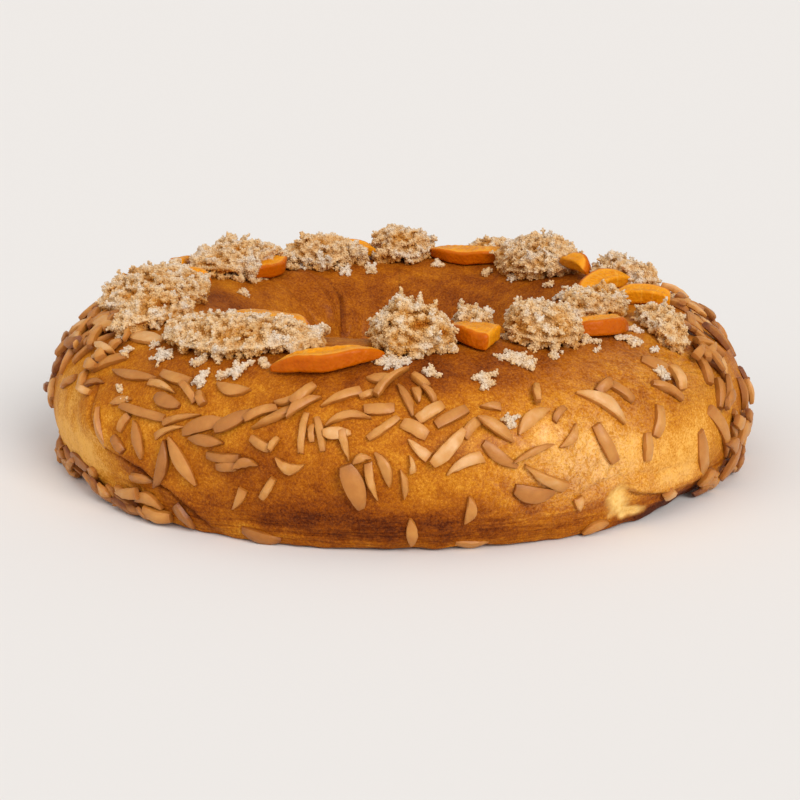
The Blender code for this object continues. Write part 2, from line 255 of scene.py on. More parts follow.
# How brown each place is baked, some rows also painting light or shade as marked: the share to add, then its middle
# and half-widths in degrees.
baking_and_painted_light = (
    (0.34, 8, 64, 48, 20),      # front of the crest
    (0.10, -90, 60, 40, 26),
    (0.22, 180, 128, 95, 40),   # wall of the hole, far side
    (0.12, 0, 150, 80, 40),
    (0.38, -16, -36, 26, 20),   # low on the front
    (0.16, 12, -50, 16, 16),
    (0.14, -26, -6, 18, 20),
    (-0.12, 6, 6, 14, 22),      # pale golden front
    # Partly painted light: these three rows make the front right and the right side paler, as if lit more strongly,
    # over their golden colour.
    (-0.26, 27, 4, 13, 26),
    (-0.26, 44, -4, 20, 26),    # right
    (-0.12, 70, 10, 22, 30),
    # Partly painted light: the lobe is paler golden, and lightened further where the light from the right falls
    # short.
    (-0.62, -63, -20, 18, 30),  # lobe under the lap on the left
    (-0.14, -70, 22, 14, 22),
    (0.26, -45, -12, 6, 14),    # beside the lap
    (-0.22, 46, 52, 18, 18),
    (0.10, -20, 10, 14, 14),
    (-0.20, 44, -27, 9, 9),     # flap over the tear
    (-0.16, -126, 140, 18, 24), # lobe in the hole
    (0.10, 180, 20, 60, 40),    # back
    # Partly painted shade: a caramelised edge, darkened further where the flap above shades it.
    (0.85, 49, -64, 11, 13),    # dark foot on the right
)
browning_and_painted_light = 0.46 + 0.18 * soft_noise(places, 0.045, 61.0) + 0.12 * small_lumps + 0.08 * lumps
browning_and_painted_light -= 0.16 * right_skin * wrinkles + 0.22 * base_folds * base_streaks
# Painted shade: darker along the edge of the flap and in the fold on the front.
browning_and_painted_light += 0.14 * np.exp(-(flap[0] / 0.0014) ** 2) + 0.16 * np.exp(-(front_fold[0] / 0.0022) ** 2)
for share, middle_theta, middle_phi, half_theta, half_phi in baking_and_painted_light:
    browning_and_painted_light += share * patch(theta, phi, middle_theta, middle_phi, half_theta, half_phi)
browning_and_painted_light += 0.25 * np.exp(-((phi + 86) / 9) ** 2)
# Painted shade: darker in the creases of the two laps.
browning_and_painted_light += 0.20 * np.exp(-(outer[0] / 0.0016) ** 2) + 0.25 * np.exp(-(hole[0] / 0.0018) ** 2)
browning_and_painted_light -= 0.18 * np.clip(-outer[0] / 0.02, 0, 1) * np.exp(-(outer[0] / 0.03) ** 2)
browning_and_painted_light[underside] = 0.75
paint(skin, "browning_and_painted_light", np.clip(browning_and_painted_light, 0, 1))
paint(skin, "torn", torn)
glossy = 0.04 + 1.0 * blistered + 0.25 * right_skin + 0.3 * patch(theta, phi, 44, -27, 10, 10)
paint(skin, "glossy", np.clip(glossy - torn, 0, 1))
wrinkled = right_skin + 0.6 * base_folds * patch(theta, phi, -4, -50, 60, 60) + 0.5 * hole_wall
paint(skin, "wrinkled", np.clip(wrinkled - torn, 0, 1))
paint(skin, "along", np.radians(theta) * path_radius / 0.010)
paint(skin, "across", (slanted + 4 * wander) * degree_across / 0.0015)


def new_finish(name):
    """Empty material, its node tree and its shader."""
    finish = bpy.data.materials.new(name)
    finish.use_nodes = True
    tree = finish.node_tree
    return finish, tree, tree.nodes["Principled BSDF"]


def add_node(tree, kind, settings=None, **inputs):
    """Shader node with its settings, its plain input values and its links."""
    node = tree.nodes.new(kind)
    for setting, value in (settings or {}).items():
        setattr(node, setting, value)
    for socket, value in inputs.items():
        target = node.inputs[int(socket[1:])] if socket[1:].isdigit() else node.inputs[socket]
        if isinstance(value, bpy.types.NodeSocket):
            tree.links.new(value, target)
        else:
            target.default_value = value
    return node


def painted(tree, name):
    """Socket of a number painted on the vertices."""
    return add_node(tree, "ShaderNodeAttribute", {"attribute_name": name}).outputs["Fac"]


def maths(tree, operation, first, second=0.0, third=0.0):
    """Socket of a sum worked out on two or three numbers."""
    node = add_node(tree, "ShaderNodeMath", {"operation": operation}, _0=first, _1=second, _2=third)
    return node.outputs[0]


def colours(tree, factor, stops):
    """Socket of a colour ramp with (position, colour) stops."""
    node = add_node(tree, "ShaderNodeValToRGB", _0=factor)
    ramp = node.color_ramp
    while len(ramp.elements) < len(stops):
        ramp.elements.new(0.5)
    for element, (position, colour) in zip(ramp.elements, stops):
        element.position = position
        element.color = (*colour, 1)
    return node.outputs["Color"]


def mixed(tree, factor, first, second, blend="MIX"):
    """Socket of two colours mixed by a factor."""
    node = add_node(tree, "ShaderNodeMix", {"data_type": "RGBA", "blend_type": blend})
    for socket, value in ((0, factor), (6, first), (7, second)):
        if isinstance(value, bpy.types.NodeSocket):
            tree.links.new(value, node.inputs[socket])
        else:
            node.inputs[socket].default_value = value if socket == 0 else (*value, 1)
    return node.outputs[2]


def grain(tree, scale, detail=4.0, roughness=0.55, distortion=0.0):
    """Socket of fine noise on the object's own coordinates."""
    where = add_node(tree, "ShaderNodeTexCoord").outputs["Object"]
    return add_node(tree, "ShaderNodeTexNoise", Vector=where, Scale=scale, Detail=detail,
                    Roughness=roughness, Distortion=distortion).outputs["Fac"]


def relief(tree, shader, height, distance, strength=1.0):
    """Bump from a height socket into the shader."""
    bump = add_node(tree, "ShaderNodeBump", Height=height, Distance=distance, Strength=strength)
    tree.links.new(bump.outputs["Normal"], shader.inputs["Normal"])


crust, tree, shader = new_finish("baked_crust")
mottle = grain(tree, 260, 5, 0.7)
blotch = grain(tree, 42, 4, 0.6, 0.6)
specks = grain(tree, 900, 2, 0.6)
flecks = grain(tree, 2100, 1, 0.5)
tone = maths(tree, "MULTIPLY_ADD", maths(tree, "SUBTRACT", mottle, 0.5), 0.38, painted(tree, "browning_and_painted_light"))
tone = maths(tree, "MULTIPLY_ADD", maths(tree, "SUBTRACT", blotch, 0.5), 0.55, tone)
tone = maths(tree, "MULTIPLY_ADD", maths(tree, "SUBTRACT", specks, 0.5), 0.62, tone)
tone = maths(tree, "MULTIPLY_ADD", maths(tree, "SUBTRACT", flecks, 0.5), 0.45, tone)
flow = add_node(tree, "ShaderNodeCombineXYZ", X=painted(tree, "along"), Y=painted(tree, "across"))
streaks = add_node(tree, "ShaderNodeTexNoise", Vector=flow.outputs[0], Scale=1.0, Detail=3.0,
                   Roughness=0.6, Distortion=0.4).outputs["Fac"]
streaks = maths(tree, "MULTIPLY", maths(tree, "SUBTRACT", streaks, 0.5), painted(tree, "wrinkled"))
tone = maths(tree, "MULTIPLY_ADD", streaks, -0.42, tone)
crust_colour = colours(tree, tone, (
    (0.00, (0.82, 0.420, 0.0850)),
    (0.22, (0.60, 0.232, 0.0150)),
    (0.45, (0.41, 0.118, 0.0045)),
    (0.68, (0.25, 0.056, 0.0020)),
    (0.88, (0.14, 0.026, 0.0014)),
    (1.00, (0.075, 0.012, 0.0010)),
))
crumb_colour = colours(tree, grain(tree, 420, 3, 0.6), (
    (0.30, (0.70, 0.38, 0.085)),
    (0.62, (0.86, 0.56, 0.190)),
))
gloss = painted(tree, "glossy")
# Painted highlight: pale pink lines along the creases of the glossy places stand for glints on the crinkled egg wash;
# the same creases also give the real bump further down.
creases = maths(tree, "ABSOLUTE", maths(tree, "SUBTRACT", grain(tree, 210, 3, 0.6, 1.6), 0.5))
painted_glint_lines = maths(tree, "MAXIMUM", maths(tree, "MULTIPLY_ADD", creases, -14.0, 1.0), 0.0)
crust_colour = mixed(tree, maths(tree, "MULTIPLY", painted_glint_lines, maths(tree, "MULTIPLY", gloss, 0.42)),
                     crust_colour, (0.95, 0.60, 0.31))
tree.links.new(mixed(tree, painted(tree, "torn"), crust_colour, crumb_colour), shader.inputs["Base Color"])
rough_skin = maths(tree, "MULTIPLY_ADD", gloss, -0.26, 0.52)
rough_skin = maths(tree, "MULTIPLY_ADD", mottle, 0.10, rough_skin)
tree.links.new(maths(tree, "MULTIPLY_ADD", painted(tree, "torn"), 0.35, rough_skin), shader.inputs["Roughness"])
tree.links.new(maths(tree, "MULTIPLY", gloss, 0.85), shader.inputs["Coat Weight"])
shader.inputs["Coat Roughness"].default_value = 0.18
shader.inputs["Specular IOR Level"].default_value = 0.05
skin_height = maths(tree, "MULTIPLY_ADD", grain(tree, 560, 4, 0.65), 0.7, grain(tree, 150, 4, 0.6, 0.8))
crinkles = maths(tree, "MULTIPLY", creases, maths(tree, "MULTIPLY", gloss, -3.5))
skin_height = maths(tree, "MULTIPLY_ADD", streaks, 2.5, skin_height)
relief(tree, shader, maths(tree, "ADD", skin_height, crinkles), 0.00060)

bread = new_piece("bread_baked", skin, crust)
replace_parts(bread, "bread")


# ---- Almonds --------------------------------------------------------------------------------------
# Blanched almonds cut lengthwise into slivers, thrown over the egg-washed dough and toasted with it:
# half-moons, sticks cut square, spears with one cut end and broad slices. They lie as they fell,
# some across others.
sliver_thickness = {"moon": 0.0032, "stick": 0.0035, "spear": 0.0032, "broad": 0.0027}
sliver_sections = 7
sliver_sink = 0.0005        # how far a sliver's underside is pressed into the egg wash
chance = random.Random(21)

# Slivers that are easy to tell apart, each from one end to the other: kind, theta and phi of the
# first end, theta and phi of the second, width in millimetres, how pale it is from 0 to 1.
placed_slivers = (
    ("moon", -55, 39.5, -43, 43, 4.8, .45), ("stick", -42.5, 45, -35.5, 43, 4.8, .60),
    ("stick", -36.5, 41, -33, 32.5, 3.4, .55), ("stick", -33, 38.5, -31, 32, 4, .50),
    ("moon", -24, 41.5, -30.5, 43, 5.5, .60), ("spear", -44, 38, -37.5, 36.5, 3.6, .75),
    ("broad", -41, 32, -35.5, 29, 6.5, .35), ("stick", -47.5, 21.5, -37.5, 20.5, 4, .50),
    ("moon", -50, 22, -46, 28, 3.6, .60), ("stick", -45, 18, -46, 8, 4, .50),
    ("spear", -49.5, -4, -52.5, 16, 5.2, .65), ("moon", -43, 17, -40.2, -4.5, 5.5, .45),
    ("stick", -47, 4, -44.5, -4, 4, .30), ("spear", -37.5, 18.5, -31, 27, 3.2, .55),
    ("spear", -38.5, 10, -33.5, 19.5, 3, .65), ("moon", -36, 9, -38, -27, 5.2, .20),
    ("moon", -35.5, 13, -30, -15, 6, .60), ("broad", -33.5, 15.5, -26, 25, 6.5, .45),
    ("broad", -27.5, 19, -22.5, 31.5, 6.5, .35), ("moon", -26, 11.5, -32, 11, 5, .40),
    ("stick", -28.5, 6, -23, 7, 4, .35), ("stick", -26.8, .5, -23.5, 2, 4.5, .40),
    ("moon", -24, 2, -20.3, 5.5, 4, .35), ("moon", -44.5, -23, -39, -17.5, 5.5, .50),
    ("spear", -22.6, -14, -24.3, -33, 4, .60), ("stick", -19.8, -19, -17.8, -2.5, 3.4, .70),
    ("moon", -13.3, 4.5, -17.6, 7, 4.8, .65), ("stick", -21.6, 18, -18.5, 13, 4, .60),
    ("stick", -17.6, 19, -18.4, 12, 2.8, .70), ("stick", -23, 26, -18.5, 34.5, 4, .60),
    ("spear", -16, 34.5, -21.5, 21.5, 3.6, .55), ("stick", -19, 36.5, -14.5, 44, 3, .55),
    ("stick", -16.2, 36, -13.2, 47, 4.2, .60), ("moon", -16.8, 29, -12.4, 42.5, 5, .50),
    ("stick", -13.8, 33, -13.9, 12, 3, .70), ("stick", -12.2, 31, -10.7, 13.5, 3.1, .65),
    ("stick", -12.7, 27, -12.4, 18, 2.6, .60), ("broad", -10.9, 22.5, -7, 23.5, 5.2, .85),
    ("spear", -6, 46.5, -11.6, 35.5, 4.2, .65), ("stick", -6.2, 42.5, -3.9, 46, 3, .65),
    ("moon", -10.8, 27.5, -4.2, 32.5, 3.9, .60), ("stick", -5.3, 36.5, -.8, 37, 5, .60),
    ("moon", -.7, 53.5, -5.4, 52.5, 5.5, .60), ("spear", -3.6, 42, 1.4, 58.5, 3.6, .60),
    ("moon", 0, 50.5, 2.2, 32.5, 3.8, .45), ("stick", -4.5, 20.5, -.2, 32, 3.4, .70),
    ("spear", -8.3, 25, -6.8, 10, 3.4, .70), ("moon", -6.7, 9, -4.2, 12.5, 3.5, .55),
    ("broad", -7.4, 8, -5.4, -21.5, 8.8, .45), ("spear", -4.4, 9, -2.8, -14, 3.7, .65),
    ("moon", -3, 15, -.9, -3.5, 4.6, .65), ("spear", 1.8, 4, 1.2, 13, 2.7, .80),
    ("moon", .4, 6, .9, -13, 3, .60), ("stick", .3, 29, 3.8, 22, 5.6, .70),
    ("spear", 3.9, 11, .9, 19.5, 4.6, .85), ("stick", 2.1, 56, 4.4, 48.5, 4, .60),
    ("spear", 2.4, 48, 3, 39.5, 4, .55), ("stick", 3.4, 48, 5.2, 40, 2.6, .50),
    ("stick", 2.4, 30, 6.4, 38.5, 5, .80), ("stick", 5.1, 27.5, 10, 36, 5, .50),
    ("spear", 15.1, 36, 12, 36, 3.8, .55), ("stick", 9, 21, 11.7, 30, 4.4, .60),
    ("moon", 11.3, 32.5, 16.3, 18.5, 5.2, .65), ("broad", 4.2, 7.5, 9, 25, 6, .85),
    ("spear", 11.5, 11, 6.6, 1.5, 5.2, .85), ("broad", 11.7, 18, 16.5, 4.5, 5.2, .45),
    ("moon", 15.4, 8, 22.2, 15.5, 3, .55), ("moon", 16.6, 22.5, 22.3, 34.5, 5.9, .75),
    ("stick", 22, 46.5, 20.9, 35.5, 3, .70), ("stick", 23, 25.5, 25.4, 32.5, 3.3, .45),
    ("moon", 26.6, 22.5, 23.4, 11, 4, .65), ("spear", 24, -12.5, 17.5, 4.5, 5, .75),
    ("broad", 16, -9.5, 22, -16, 7.2, .40), ("moon", 10.1, -12.5, 9.6, -36, 4.6, .60),
    ("moon", 1.9, -30, 2.1, -66, 4.6, .60), ("broad", 8, -74, 13, -72, 6, .65),
    ("broad", -23.5, -60, -17.5, -72, 6, .25), ("spear", 26.5, -24, 27, -36, 4.4, .75),
    ("moon", 28, -66, 32.5, -54, 5, .60), ("moon", 28.6, 41.5, 35.4, 20.5, 6.2, .85),
    ("stick", 29.8, 21.5, 32.4, -.5, 5, .60), ("stick", 35, 42, 38, 30, 4.6, .50),
    ("stick", 32, 38.5, 35, 42.5, 4.6, .45), ("stick", 43, 24.5, 40.6, 8.5, 5, .65),
    ("stick", 39, 12, 38.6, -5, 5, .70), ("broad", 51.5, 4, 56.5, -48, 6.6, .60),
    ("spear", 55, 14, 63.5, -30, 5.2, .60), ("stick", 61.5, 26, 58.5, 11, 5, .45),
    ("stick", 64, 5, 66.3, -9, 4, .55), ("stick", 79, 19, 80, -8, 5, .10),
    ("stick", 60.5, 41.5, 58, 25.5, 5, .45), ("broad", 45.5, 52, 50.5, 34, 7, .50),
    ("stick", 49.6, 42, 48.6, 28, 5, .80), ("stick", 43.5, 37, 48.5, 24, 3.6, .55),
    ("stick", 60.5, 60, 58.5, 51, 4.5, .60), ("stick", 64, 48.5, 60.6, 36.5, 4.6, .55),
    ("stick", 44, -36, 46.5, -47, 6, .85), ("spear", -70, 30, -66, 57, 3.6, .55),
    ("stick", -60.5, 34, -54.5, 48.5, 4.8, .50), ("broad", -61, 61, -50.5, 65, 7.6, .90),
    ("stick", -62.5, 31, -60.5, 20, 4, .65), ("spear", -60, 24, -55, 30.5, 3.8, .30),
    ("stick", -60, 21.5, -57, 21.5, 3.4, .85), ("stick", -69.5, 15, -65, 25, 3.4, .55),
    ("stick", -63.5, 39, -61, 42, 4, .80), ("stick", -79, 26, -82, 12, 5, .20),
    ("stick", -80, 10, -78, 0, 5, .85), ("broad", -67, -38, -58.5, -42, 6.6, .20),
    ("moon", -57.5, -33, -56, -46, 6, .55), ("stick", -57, -44, -54.5, -64, 5, .25),
    ("stick", -51, -58, -44.5, -66, 4.6, .25), ("moon", -44, -44, -38, -44, 6, .60),
    ("stick", -41.5, -54, -36.5, -58, 5.6, .65), ("spear", -35, -40, -32, -68, 6.4, .25),
)
# Slivers thrown over a stretch of the dough: how many, the range of theta, the range of phi.
thrown_slivers = (
    (44, (-112, -80), (-12, 62)), (24, (-80, -60), (26, 62)), (46, (-100, -42), (-76, -44)),
    (70, (60, 116), (-20, 66)), (34, (54, 100), (-74, -30)), (125, (116, 248), (-10, 62)),
    (34, (100, 260), (-70, -25)),
)
throw_length = (0.009, 0.022)
throw_width = (0.0028, 0.0062)


def dough_place(theta, phi):
    """Point on the plain section of the dough at the ring's angles."""
    sine, cosine = math.sin(math.radians(phi)), math.cos(math.radians(phi))
    if sine > 0:
        radius = path_radius + half_width * cosine
        height = widest_height + (crest_height - widest_height) * sine
    else:
        radius = path_radius + half_width - base_inset * (1 - cosine)
        height = widest_height * (1 + sine)
    turn = math.radians(theta)
    return Vector((radius * math.sin(turn), -radius * math.cos(turn), height))


bread_surface = BVHTree.FromPolygons([tuple(place) for place in places],
                                     [tuple(face.vertices) for face in skin.polygons])


def on_bread(theta, phi):
    """Place and normal on the baked skin at the ring's angles."""
    place, normal, _, _ = bread_surface.find_nearest(dough_place(theta, phi))
    return place, normal


def sliver_outline(kind, share):
    """Width, and how far the middle is off to one side, at a share of a sliver's length."""
    if kind == "moon":
        width = max(0.16, math.sin(math.pi * share) ** 0.62)
        return width, 0.36 * (width - 1)
    if kind == "spear":
        width = max(0.14, (1 - share ** 2.4) ** 0.8)
        return width, 0.22 * (width - 1)
    if kind == "broad":
        width = max(0.30, math.sin(math.pi * (0.06 + 0.88 * share) ** 0.78) ** 0.55)
        return width, 0.0
    return 1 - 0.22 * abs(2 * share - 1) ** 3, 0.0


def sliver_form(kind):
    """One sliver of unit length, width and thickness along X, standing on Z = 0."""
    mesh = bmesh.new()
    bmesh.ops.create_cube(mesh, size=1)
    lengthwise = [edge for edge in mesh.edges if abs(edge.verts[0].co.x - edge.verts[1].co.x) > 0.5]
    bmesh.ops.subdivide_edges(mesh, edges=lengthwise, cuts=sliver_sections - 1)
    corners = [edge for edge in mesh.edges
               if abs(edge.verts[0].co.x - edge.verts[1].co.x) > 0.01
               and abs(edge.verts[0].co.y) > 0.4 and abs(edge.verts[0].co.z) > 0.4]
    bmesh.ops.bevel(mesh, geom=corners, offset=0.20, segments=1, profile=0.5, affect="EDGES", material=-1)
    for vertex in mesh.verts:
        width, aside = sliver_outline(kind, vertex.co.x + 0.5)
        thickness = 0.72 + 0.28 * math.sin(math.pi * (vertex.co.x + 0.5))
        vertex.co.y = vertex.co.y * width + aside
        vertex.co.z = (vertex.co.z + 0.5) * thickness
    form = bpy.data.meshes.new("sliver_" + kind)
    mesh.to_mesh(form)
    mesh.free()
    return form


sliver_forms = {kind: sliver_form(kind) for kind in sliver_thickness}
sliver_heaps = {kind: bmesh.new() for kind in sliver_thickness}
sliver_tones_and_shade = {kind: [] for kind in sliver_thickness}
laid = []                   # points along the slivers laid so far, with each one's half-width and top


def rest_lifts(start, end, half_width_here):
    """How far the two ends are held up by slivers laid before."""
    lifts = [0.0, 0.0]
    for share in (0.08, 0.3, 0.5, 0.7, 0.92):
        here = start.lerp(end, share)
        for other, reach, top in laid:
            if (here - other).length < 0.75 * (half_width_here + reach):
                lifts[0] = max(lifts[0], top if share < 0.6 else 0.0)
                lifts[1] = max(lifts[1], top if share > 0.4 else 0.0)
    return [min(lift, 0.0034) for lift in lifts]


def lay_sliver(kind, start, end, normal, width, pale):
    """Add one sliver between two places on the skin to the heap of its kind."""
    heap, form = sliver_heaps[kind], sliver_forms[kind]
    lifts = rest_lifts(start, end, width / 2)
    thickness = sliver_thickness[kind] * chance.uniform(0.85, 1.2) * (0.8 + 0.2 * width / 0.005)
    for share in (0.1, 0.3, 0.5, 0.7, 0.9):
        laid.append((start.lerp(end, share), width / 2, 0.8 * thickness))
    first = start + normal * lifts[0]
    second = end + normal * lifts[1]
    along = (second - first).normalized()
    length = (second - first).length
    side = normal.cross(along).normalized()
    up = along.cross(side)
    up.rotate(Matrix.Rotation(math.radians(chance.gauss(0, 7)), 3, along))
    side = up.cross(along)
    sway = chance.gauss(0, 0.06) * length
    crown = 0.0
    for share in (0.3, 0.5, 0.7):
        chord = start.lerp(end, share)
        above = (bread_surface.find_nearest(chord)[0] - chord).dot(normal)
        crown = max(crown, above / (4 * share * (1 - share)))
    crown = min(crown, 0.004)
    before = len(heap.verts)
    heap.from_mesh(form)
    heap.verts.ensure_lookup_table()
    for vertex in heap.verts[before:]:
        u, v, w = vertex.co
        off_middle = 4 * u * u
        knock = Vector([chance.gauss(0, 0.00010) for _ in range(3)])
        vertex.co = (first.lerp(second, u + 0.5) + side * (v * width + sway * (1 - off_middle))
                     + up * (w * thickness - sliver_sink + crown * (1 - off_middle)) + knock)
        tip = max(abs(u) - 0.38, 0)
        # Paleness of the sliver, with painted shade making it darker towards its underside, darker toasted ends and a
        # little random change.
        sliver_tones_and_shade[kind].append(pale + 0.42 * (w - 0.75) - 1.2 * tip + chance.uniform(-0.05, 0.05))
    lowest = min(vertex.co.z for vertex in heap.verts[before:])
    for vertex in heap.verts[before:]:
        vertex.co.z -= min(lowest, 0)


for kind, theta_a, phi_a, theta_b, phi_b, width, pale in placed_slivers:
    (start, normal_a), (end, normal_b) = on_bread(theta_a, phi_a), on_bread(theta_b, phi_b)
    lay_sliver(kind, start, end, (normal_a + normal_b).normalized(), width / 1000, pale)

for count, theta_range, phi_range in thrown_slivers:
    for _ in range(count):
        kind = chance.choices(("moon", "stick", "spear", "broad"), (0.30, 0.34, 0.24, 0.12))[0]
        middle, normal = on_bread(chance.uniform(*theta_range), chance.uniform(*phi_range))
        across = normal.orthogonal().normalized()
        across.rotate(Matrix.Rotation(chance.uniform(0, 2 * math.pi), 3, normal))
        half = across * chance.uniform(*throw_length) / 2
        width = chance.uniform(*throw_width) * (1.35 if kind == "broad" else 1)
        if middle.z + half.z < 0.002 or middle.z - half.z < 0.002:
            half.z = 0
        start, end = (bread_surface.find_nearest(middle + half * way)[0] for way in (-1, 1))
        lay_sliver(kind, start, end, normal, width, chance.betavariate(3, 2.6))

almond, tree, shader = new_finish("toasted_almond")
toast = maths(tree, "MULTIPLY_ADD", maths(tree, "SUBTRACT", grain(tree, 230, 3, 0.5), 0.5), 0.40,
              painted(tree, "tone"))
almond_colour = colours(tree, toast, (
    (0.00, (0.200, 0.050, 0.004)),
    (0.22, (0.320, 0.105, 0.010)),
    (0.55, (0.450, 0.165, 0.022)),
    (0.80, (0.560, 0.245, 0.048)),
    (1.00, (0.660, 0.360, 0.140)),
))
tree.links.new(almond_colour, shader.inputs["Base Color"])
tree.links.new(maths(tree, "MULTIPLY_ADD", grain(tree, 700, 2), 0.25, 0.36), shader.inputs["Roughness"])
shader.inputs["Subsurface Weight"].default_value = 0.15
shader.inputs["Subsurface Radius"].default_value = (0.002, 0.001, 0.0005)
shader.inputs["Subsurface Scale"].default_value = 0.5
relief(tree, shader, grain(tree, 900, 3), 0.00012)

for kind, heap in sliver_heaps.items():
    bmesh.ops.recalc_face_normals(heap, faces=heap.faces)
    slivers = bpy.data.meshes.new("almond_" + kind)
    heap.to_mesh(slivers)
    heap.free()
    paint(slivers, "tone", sliver_tones_and_shade[kind])
    new_piece("almond_" + kind + "s", slivers, almond)
    slivers.set_sharp_from_angle(angle=math.radians(40))


# ---- Candied orange ------------------------------------------------------------------------------
# Half-moon slices of orange boiled in syrup: a shiny orange rind, a paler band of pith and amber
# flesh in segments. Each solid is remeshed finely, rounded and wrinkled a little.
slice_nodes = sorted(name for name in nodes if name.startswith("orange_"))
rind_depth = 0.0012
pith_depth = 0.0028
segment_angle = 36.0
soft_sag = 0.0014           # how far an unsupported part of a slice sinks towards the dough


def out_of_dough(place):
    """Direction out of the dough, roughly, at a place on or above it."""
    middle = Vector((place.x, place.y, 0)).normalized() * path_radius
    middle.z = widest_height
    return (place - middle).normalized()


def above_bread(place):
    """Distance of a place above the baked skin, negative inside it."""
    near, normal, _, _ = bread_surface.find_nearest(Vector(place))
    return (Vector(place) - near).dot(normal)


def slice_frame(node):
    """Middle, directions (along the straight edge, towards the rind, out of the cut face) and
    centre of the rind's circle, of a slice's solid."""
    mesh = merged_copy(node)
    mesh.normal_update()
    bmesh.ops.dissolve_limit(mesh, angle_limit=0.02, verts=mesh.verts, edges=mesh.edges)
    mesh.normal_update()
    cut_faces = [face for face in mesh.faces if any(
        face.normal.dot(other.normal) < -0.999 and abs(face.calc_area() / other.calc_area() - 1) < 0.1
        for other in mesh.faces)]
    cut_face = max(cut_faces, key=lambda face: face.calc_area())
    out = cut_face.normal * math.copysign(1, cut_face.normal.dot(
        out_of_dough(cut_face.calc_center_median())))
    sides = [face for face in mesh.faces if abs(face.normal.dot(out)) < 0.05]
    straight = max(sides, key=lambda face: face.calc_area())
    towards_rind = -straight.normal
    along = towards_rind.cross(out)
    middle = straight.calc_center_median()
    outline = [vertex.co - middle for face in sides for vertex in face.verts]
    flat = np.array([(point.dot(along), point.dot(towards_rind)) for point in outline])
    flat = flat[flat[:, 1] > flat[:, 1].max() * 0.45]
    terms = np.column_stack((flat, np.ones(len(flat))))
    centre_x, centre_y, rest = np.linalg.lstsq(terms, (flat ** 2).sum(1), rcond=None)[0]
    centre = middle + along * (centre_x / 2) + towards_rind * (centre_y / 2)
    radius = math.sqrt(rest + centre_x ** 2 / 4 + centre_y ** 2 / 4)
    mesh.free()
    return centre, along, towards_rind, out, radius


def orange_finish():
    """Rind, pith and flesh of candied orange, told apart by the depth behind the rind."""
    finish, tree, shader = new_finish("candied_orange_flesh_and_rind")
    depth = painted(tree, "depth")
    membrane = painted(tree, "membrane")
    flesh = colours(tree, grain(tree, 330, 4, 0.6, 1.2), (
        (0.30, (0.66, 0.225, 0.0020)),
        (0.62, (0.84, 0.350, 0.0100)),
    ))
    flesh = mixed(tree, membrane, flesh, (0.86, 0.46, 0.060))
    zones = colours(tree, depth, (
        (0.00, (0.50, 0.105, 0.0003)),
        (0.20, (0.62, 0.160, 0.0005)),
        (0.34, (0.84, 0.370, 0.0300)),
        (0.60, (0.80, 0.330, 0.0100)),
    ))
    in_flesh = maths(tree, "SMOOTH_MIN", maths(tree, "MULTIPLY", maths(tree, "SUBTRACT", depth, 0.55), 5.0), 1.0, 0.1)
    in_flesh = maths(tree, "MAXIMUM", in_flesh, 0.0)
    colour = mixed(tree, in_flesh, zones, flesh)
    toned = mixed(tree, maths(tree, "MULTIPLY", grain(tree, 160, 5, 0.7), 0.60), colour,
                  (0.80, 0.55, 0.30), "MULTIPLY")
    tree.links.new(toned, shader.inputs["Base Color"])
    tree.links.new(maths(tree, "MULTIPLY_ADD", grain(tree, 600, 2), 0.22, 0.24), shader.inputs["Roughness"])
    shader.inputs["Coat Weight"].default_value = 0.05
    shader.inputs["Coat Roughness"].default_value = 0.20
    shader.inputs["Specular IOR Level"].default_value = 0.08
    shader.inputs["Subsurface Weight"].default_value = 0.10
    shader.inputs["Subsurface Radius"].default_value = (0.004, 0.0016, 0.0004)
    shader.inputs["Subsurface Scale"].default_value = 0.6
    pores = add_node(tree, "ShaderNodeTexVoronoi", Vector=add_node(tree, "ShaderNodeTexCoord").outputs["Object"],
                     Scale=620.0).outputs["Distance"]
    relief(tree, shader, maths(tree, "ADD", pores, grain(tree, 420, 4, 0.65)), 0.00026)
    return finish


